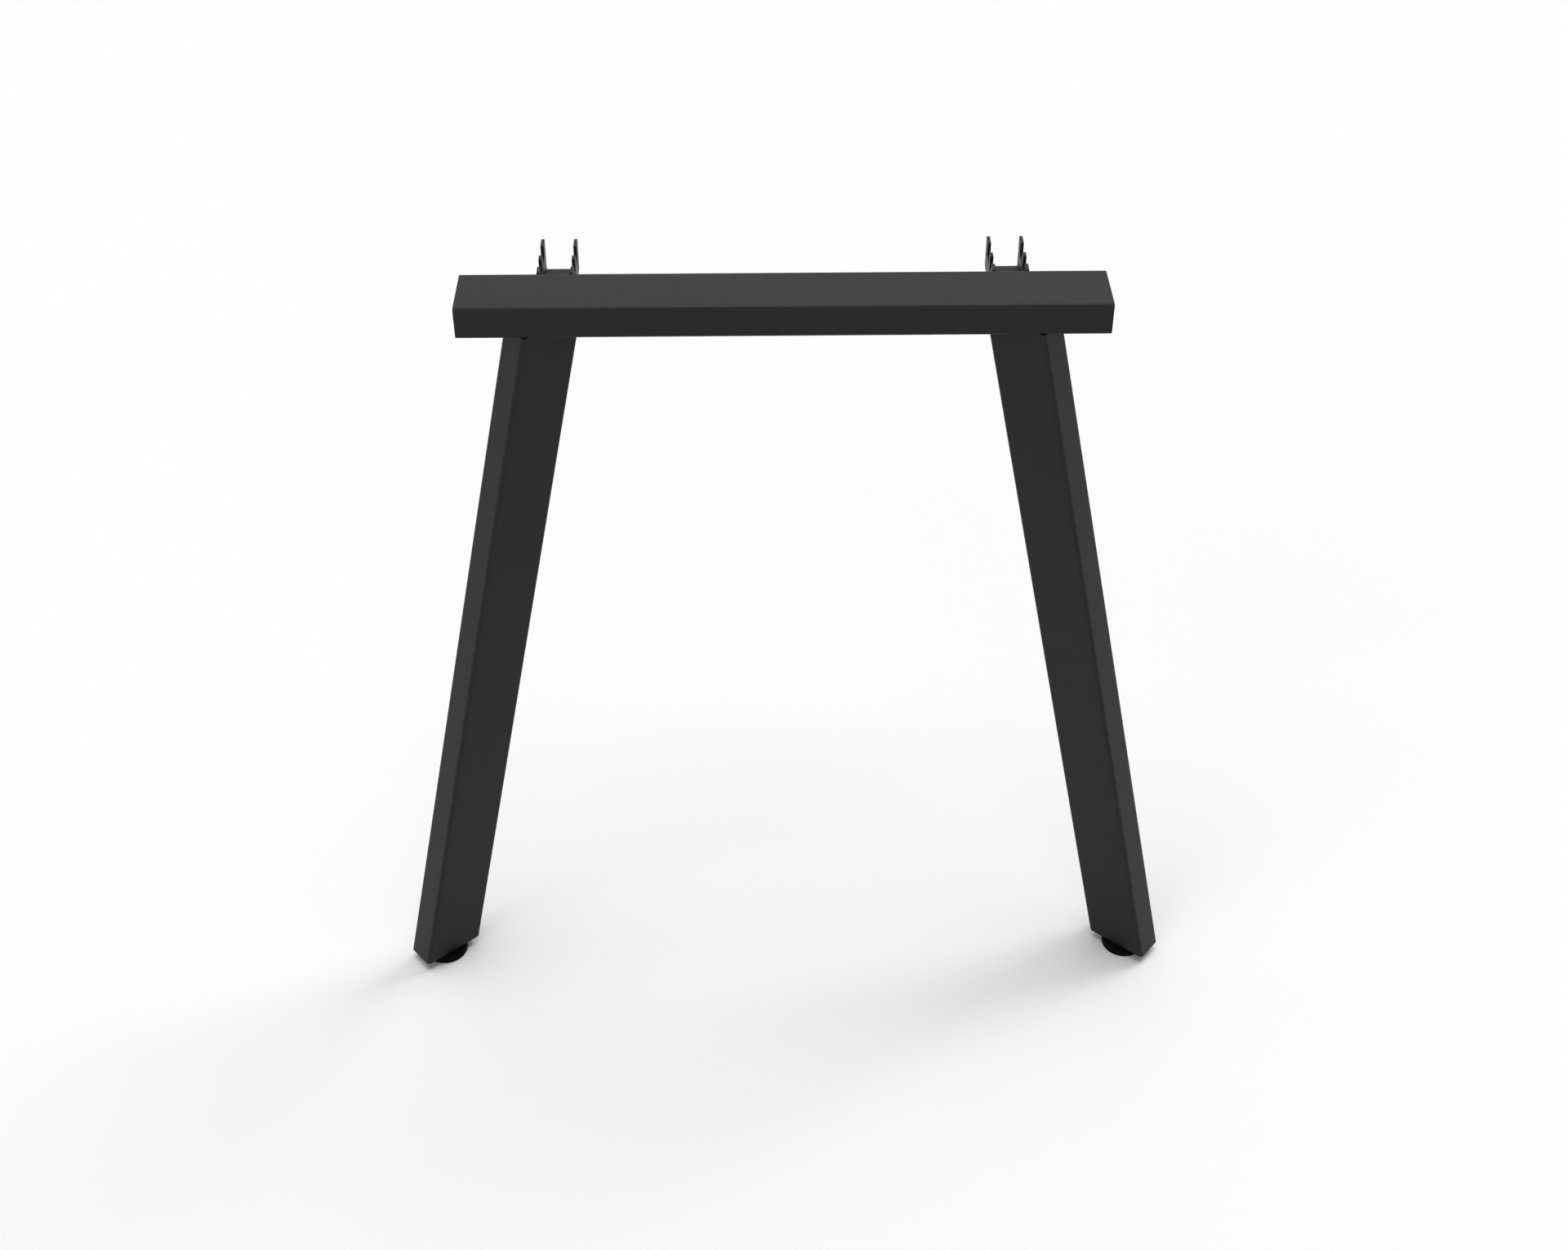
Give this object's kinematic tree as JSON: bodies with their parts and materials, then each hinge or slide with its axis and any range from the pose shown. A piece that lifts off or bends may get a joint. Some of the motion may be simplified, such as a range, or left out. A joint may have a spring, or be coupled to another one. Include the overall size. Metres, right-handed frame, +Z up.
{
  "type": "desk leg",
  "caption": "Splayed end frame for a desk: flat top rail on two leaning tube legs with levelling feet, and hook brackets that take cross beams.",
  "frame": {"origin": "centre of the rail's top face, where the desktop rests", "axes": "+X along the rail, +Y from the rail to the hook brackets, under the desk, +Z up"},
  "size_m": [0.7488, 0.2328, 0.694],
  "materials": {
    "powder_coated_steel": "satin black powder coat",
    "zinc_plated_steel": "bright zinc plating",
    "black_plastic": "moulded matte"
  },
  "bodies": {
    "frame": {"top_rail": "powder_coated_steel", "left_leg": "powder_coated_steel", "left_hook_bracket": "powder_coated_steel", "left_leg_end_plate": "powder_coated_steel", "left_rail_plug": "black_plastic", "left_foot_nut": "zinc_plated_steel", "right_leg": "powder_coated_steel", "right_hook_bracket": "powder_coated_steel", "right_leg_end_plate": "powder_coated_steel", "right_rail_plug": "black_plastic", "right_foot_nut": "zinc_plated_steel"},
    "left_foot": {"left_foot_stud": "zinc_plated_steel", "left_foot_pad": "black_plastic"},
    "right_foot": {"right_foot_stud": "zinc_plated_steel", "right_foot_pad": "black_plastic"}
  },
  "joints": [
    {"name": "left_foot_height", "type": "slide", "parent": "frame", "child": "left_foot", "axis": [0, 0, -1], "range_m": [0, 0.015]},
    {"name": "right_foot_height", "type": "slide", "parent": "frame", "child": "right_foot", "axis": [0, 0, -1], "range_m": [0, 0.015]}
  ]
}
